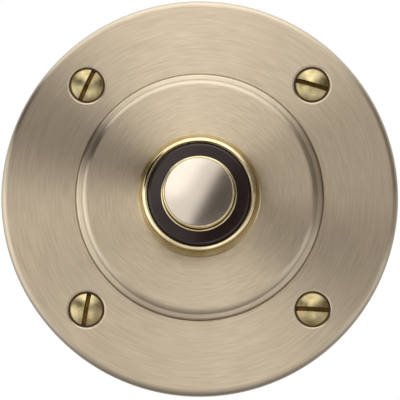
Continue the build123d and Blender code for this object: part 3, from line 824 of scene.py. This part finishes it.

# Screw brass: yellower than the plate and satin from handling, with soft stains. Painted shade darkens the
# slot and the edge of the head to a matt brown.
screw_brass, tree, shader, place = new_finish("screw_brass")
scuff = node(tree, "ShaderNodeTexNoise", {"Vector": place, "Scale": 1 / (0.5 * MM), "Detail": 4})
stain = node(tree, "ShaderNodeTexNoise", {"Vector": place, "Scale": 1 / (1.6 * MM), "Detail": 2})
tone = node(tree, "ShaderNodeMapRange", {0: stain, 1: 0.35, 2: 0.65})
colour = node(tree, "ShaderNodeMix", {0: tone, 6: "#BFB087", 7: "#998B63"}, data_type="RGBA")
gloss = node(tree, "ShaderNodeMapRange", {0: scuff, 1: 0.3, 2: 0.7, 3: 0.24, 4: 0.34})
aside = node(tree, "ShaderNodeVectorMath", {0: place}, operation="ABSOLUTE")
aside = node(tree, "ShaderNodeVectorMath", {
    0: aside, 1: (hole_offset * MM, 0, hole_offset * MM)}, operation="SUBTRACT")
radius = off_axis(tree, aside)[0]
# Painted shade: matt brown on the outer edge of each head and deep in the slot, where they lie in shadow,
# kept off the hidden shank.
edge = node(tree, "ShaderNodeMapRange", {0: radius, 1: rim_shade_from_r * MM, 2: rim_shade_full_r * MM})
depth = node(tree, "ShaderNodeSeparateXYZ", {0: place}).outputs["Y"]
slot_shade_mask = node(tree, "ShaderNodeMapRange", {0: depth, 1: -slot_shade_from * MM, 2: -slot_shade_full * MM})
painted_shade = node(tree, "ShaderNodeMath", {0: edge, 1: slot_shade_mask}, operation="MAXIMUM")
plain = node(tree, "ShaderNodeMapRange", {0: depth, 1: -head_low * MM, 2: -head_back * MM, 3: 1, 4: 0})
painted_shade = node(tree, "ShaderNodeMath", {0: painted_shade, 1: plain}, operation="MULTIPLY")
shade_brown = node(tree, "ShaderNodeMix", {0: tone, 6: "#4E3616", 7: "#80602F"}, data_type="RGBA")
colour = node(tree, "ShaderNodeMix", {0: painted_shade, 6: colour, 7: shade_brown}, data_type="RGBA")
gloss = node(tree, "ShaderNodeMix", {0: painted_shade, 2: gloss, 3: 0.6})
dents = node(tree, "ShaderNodeBump", {"Strength": 0.05, "Distance": 0.02 * MM, "Height": scuff})
fill(tree, shader, {"Base Color": colour, "Roughness": gloss, "Normal": dents, "Metallic": 1})

blank = turned("screw_blank", [
    (0, screw_end),
    (tip_r, screw_end, 0.08),
    (core_r, screw_point),
    (core_r, screw_plain),
    (shank_r, screw_plain + shank_r - core_r),
    (shank_r, shank_r - head_r, 0.1),
    *dome(head_r, head_dome, head_dome),
], sides=48, axis="Z")
cut(blank, block("saw", (4 * head_r, slot_width, saw_tall), (0, 0, slot_floor + saw_tall / 2)))

screw_set = bpy.data.node_groups.new("fixing_screw_set", "GeometryNodeTree")
size = sockets(
    screw_set, "Geometry", "Circle radius", "Seat", "Core radius", "Tip radius", "Thread depth",
    "Thread pitch", "Thread start", "Point start", "Thread end", "Finish")
run = node(screw_set, "ShaderNodeMath", {
    0: size["Thread start"], 1: size["Thread end"]}, operation="SUBTRACT")
turns = node(screw_set, "ShaderNodeMath", {0: run, 1: size["Thread pitch"]}, operation="DIVIDE")
climb = node(screw_set, "GeometryNodeCurveSpiral", {
    "Resolution": 32, "Rotations": turns, "Start Radius": 1.0, "End Radius": 1.0, "Height": run})
spot = node(screw_set, "GeometryNodeInputPosition")
spot = node(screw_set, "ShaderNodeSeparateXYZ", {0: spot}).outputs
down = node(screw_set, "ShaderNodeMath", {0: spot["Z"], 1: size["Thread end"]}, operation="ADD")
taper = node(screw_set, "ShaderNodeMapRange", {
    0: down, 1: size["Thread end"], 2: size["Point start"], 3: size["Tip radius"], 4: size["Core radius"]})
x = node(screw_set, "ShaderNodeMath", {0: spot["X"], 1: taper}, operation="MULTIPLY")
y = node(screw_set, "ShaderNodeMath", {0: spot["Y"], 1: taper}, operation="MULTIPLY")
spot = node(screw_set, "ShaderNodeCombineXYZ", {"X": x, "Y": y, "Z": down})
wound = node(screw_set, "GeometryNodeSetPosition", {"Geometry": climb, "Position": spot})
along = node(screw_set, "GeometryNodeSplineParameter").outputs["Factor"]
rise = node(screw_set, "ShaderNodeMapRange", {0: along, 1: 0, 2: 0.4, 3: 0.1, 4: 1})
fall = node(screw_set, "ShaderNodeMapRange", {0: along, 1: 0.9, 2: 1, 3: 1, 4: 0.05})
fade = node(screw_set, "ShaderNodeMath", {0: rise, 1: fall}, operation="MULTIPLY")
root = node(screw_set, "ShaderNodeMath", {0: size["Thread pitch"], 1: 0.42}, operation="MULTIPLY")
thread = wind(screw_set, wound, size["Thread depth"], root, screw_crest * MM, fade)
screw = node(screw_set, "GeometryNodeJoinGeometry", {0: size["Geometry"]})
fill(screw_set, screw, {0: thread})
holes = node(screw_set, "GeometryNodeMeshCircle", {"Vertices": 4, "Radius": size["Circle radius"]})
holes = node(screw_set, "GeometryNodeTransform", {"Geometry": holes, "Rotation": (0, 0, math.pi / 4)})
pick = node(screw_set, "GeometryNodeIndexSwitch", data_type="FLOAT")
pick.index_switch_items.new()
pick.index_switch_items.new()
fill(screw_set, pick, {"Index": node(screw_set, "GeometryNodeInputIndex")})
for k, slot_turn in enumerate(slot_turns):
    pick.inputs[k + 1].default_value = math.radians(slot_turn)
tight = node(screw_set, "ShaderNodeCombineXYZ", {"Z": pick})
driven = node(screw_set, "GeometryNodeInstanceOnPoints", {
    "Points": holes, "Instance": screw, "Rotation": tight})
lay(screw_set, driven, size["Seat"], size["Finish"])

screws = grow("fixing_screw_set", screw_set, {
    "Circle radius": screw_circle_r * MM, "Seat": -head_rim * MM, "Core radius": core_r * MM,
    "Tip radius": tip_r * MM, "Thread depth": (shank_r - core_r) * MM, "Thread pitch": screw_pitch * MM,
    "Thread start": (screw_plain - thread_gap) * MM, "Point start": screw_point * MM,
    "Thread end": (screw_end + thread_gap) * MM, "Finish": screw_brass}, start=blank.data)
bpy.data.objects.remove(blank)
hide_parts("fixing_screws")
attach(screws, "housing")


# Studio: a white background, a pale floor well below, and a cloth light tent round the part. The tent is
# bright above and to the left and dim to the right, with a dark gap at the upper left, and straight
# ahead its light falls off softly from the upper left to the lower right.
tent_r, floor_half, floor_drop = 350, 3000, 400
panel_axis = (-0.0156, -0.9942, 0.1063)
front_panels = (
    (0, 0.25), (15, 0.27), (30, 0.32), (45, 1.6), (60, 2.1), (75, 2.35), (90, 2.5), (105, 2.25),
    (120, 1.67), (130, 1.35), (134, 0), (171, 0), (178, 1.7), (185, 1.9), (195, 1.9), (210, 1.5),
    (225, 1.4), (240, 0.8), (255, 1.05), (270, 1.05), (285, 1.65), (300, 1.37), (315, 1.4),
    (330, 0.76), (345, 0.66))
side_panels = (
    (0, 0.1), (30, 0.15), (45, 1.0), (60, 1.7), (75, 2.0), (90, 2.1), (105, 2.0), (120, 1.8), (138, 1.6),
    (147, 0.05), (160, 0.05), (168, 1.2), (180, 1.8), (195, 1.7), (210, 1.3), (225, 0.9), (240, 0.5),
    (270, 0.5), (300, 0.6), (318, 0.9), (338, 1.0), (350, 0.3))
front_reach, side_reach, brightest = (0.72, 0.86), (-0.1, 0.2), 4
near_out, near_in, fall_off = 12, 10.5, (-0.88, 0, 0.47)

# Tent cloth: thin white nylon lit from behind in panels, so it glows with soft edges, and a dim panel
# looks a little warm. A panel is an angle round the middle of the front and a brightness. A ring of
# panels begins and is full at two cosines of the angle from that middle.
tent_cloth, tree = bare_material("light_tent")
place = node(tree, "ShaderNodeTexCoord").outputs["Object"]
toward = node(tree, "ShaderNodeVectorMath", {0: place}, operation="NORMALIZE")
aside = node(tree, "ShaderNodeVectorMath", {0: toward, 1: panel_axis}, operation="SUBTRACT")
axes = node(tree, "ShaderNodeSeparateXYZ", {0: aside}).outputs
turn = node(tree, "ShaderNodeMath", {0: axes["Z"], 1: axes["X"]}, operation="ARCTAN2")
turn = node(tree, "ShaderNodeMath", {0: turn, 1: 2 * math.pi}, operation="DIVIDE")
turn = node(tree, "ShaderNodeMath", {0: turn}, operation="FRACT")
front = node(tree, "ShaderNodeVectorMath", {0: toward, 1: panel_axis}, operation="DOT_PRODUCT")
glow = node(tree, "ShaderNodeMapRange", {0: axes["Z"], 1: -1, 2: 1, 3: 0.25, 4: 1.3})
for panels, reach in ((side_panels, side_reach), (front_panels, front_reach)):
    ramp = node(tree, "ShaderNodeValToRGB", {0: turn})
    stops = ramp.color_ramp.elements
    stops.remove(stops[1])
    for angle, level in panels:
        stop = stops.new(angle / 360) if angle else stops[0]
        stop.color = (level / brightest,) * 3 + (1,)
    level = node(tree, "ShaderNodeMath", {0: ramp, 1: brightest}, operation="MULTIPLY")
    share = node(tree, "ShaderNodeMapRange", {
        0: front, 1: reach[0], 2: reach[1]}, interpolation_type="SMOOTHSTEP")
    glow = node(tree, "ShaderNodeMix", {0: share, 2: glow, 3: level})
lean = node(tree, "ShaderNodeVectorMath", {0: aside, 1: fall_off}, operation="DOT_PRODUCT")
ahead = node(tree, "ShaderNodeMapRange", {
    0: lean, 1: -0.062, 2: -0.016, 3: 0.07, 4: 0.78}, interpolation_type="SMOOTHSTEP")
box = node(tree, "ShaderNodeMapRange", {
    0: lean, 1: 0.012, 2: 0.085, 3: 0, 4: 0.45}, interpolation_type="SMOOTHSTEP")
over = node(tree, "ShaderNodeMapRange", {
    0: axes["Z"], 1: -0.06, 2: 0.012}, interpolation_type="SMOOTHSTEP")
ahead = node(tree, "ShaderNodeMath", {0: box, 1: over, 2: ahead}, operation="MULTIPLY_ADD")
near = node(tree, "ShaderNodeMapRange", {
    0: front, 1: math.cos(math.radians(near_out)), 2: math.cos(math.radians(near_in))},
    interpolation_type="SMOOTHSTEP")
glow = node(tree, "ShaderNodeMix", {0: near, 2: glow, 3: ahead})
lit = node(tree, "ShaderNodeMapRange", {0: glow, 1: 0.1, 2: 0.8})
colour = node(tree, "ShaderNodeMix", {0: lit, 6: "#FFEBE3", 7: "#FFFFFF"}, data_type="RGBA")
light = node(tree, "ShaderNodeEmission", {"Color": colour, "Strength": glow})
node(tree, "ShaderNodeOutputMaterial", {"Surface": light})

shape = bmesh.new()
bmesh.ops.create_uvsphere(shape, u_segments=64, v_segments=32, radius=tent_r * MM)
tent = set_down("light_tent", shape)
tent.data.materials.append(tent_cloth)
tent.visible_camera = False

# Floor paint: matt off-white emulsion, faintly cloudy over a few centimetres.
floor_paint, tree = bare_material("floor_paint")
place = node(tree, "ShaderNodeTexCoord").outputs["Object"]
cloud = node(tree, "ShaderNodeTexNoise", {"Vector": place, "Scale": 1 / (33.3 * MM), "Detail": 4})
colour = node(tree, "ShaderNodeMix", {0: cloud, 6: "#F2F1EF", 7: "#F7F6F4"}, data_type="RGBA")
matt = node(tree, "ShaderNodeBsdfDiffuse", {"Color": colour})
node(tree, "ShaderNodeOutputMaterial", {"Surface": matt})
shape = bmesh.new()
bmesh.ops.create_grid(shape, x_segments=1, y_segments=1, size=floor_half * MM)
bmesh.ops.translate(shape, verts=shape.verts, vec=(0, 0, -floor_drop * MM))
floor = set_down("floor", shape)
floor.data.materials.append(floor_paint)
floor.visible_glossy = False

world = bpy.data.worlds.new("white_studio")
bpy.context.scene.world = world
world.use_nodes = True
fill(world.node_tree, world.node_tree.nodes["Background"], {"Color": (1, 1, 1, 1), "Strength": 1})


# Camera: a long lens from about six degrees below the button and a little to its right, so that the
# plate just fills the picture.
camera_range, camera_drop, camera_right, view_width, film_width = 600, 6.1, 0.9, 64.15, 36
lens = bpy.data.cameras.new("camera")
lens.sensor_width = film_width
lens.lens = film_width * camera_range / view_width
lens.clip_start, lens.clip_end = 0.01, 20
camera = bpy.data.objects.new("camera", lens)
bpy.context.scene.collection.objects.link(camera)
low, right = math.radians(camera_drop), math.radians(camera_right)
away = Vector((math.sin(right) * math.cos(low), -math.cos(right) * math.cos(low), -math.sin(low)))
aim = Vector((0.05, -1.7, -0.26)) * MM
camera.location = aim + away * camera_range * MM
camera.rotation_mode = "QUATERNION"
camera.rotation_quaternion = (-away).to_track_quat("-Z", "Y")
bpy.context.scene.camera = camera
bpy.context.scene.view_settings.view_transform = "Standard"
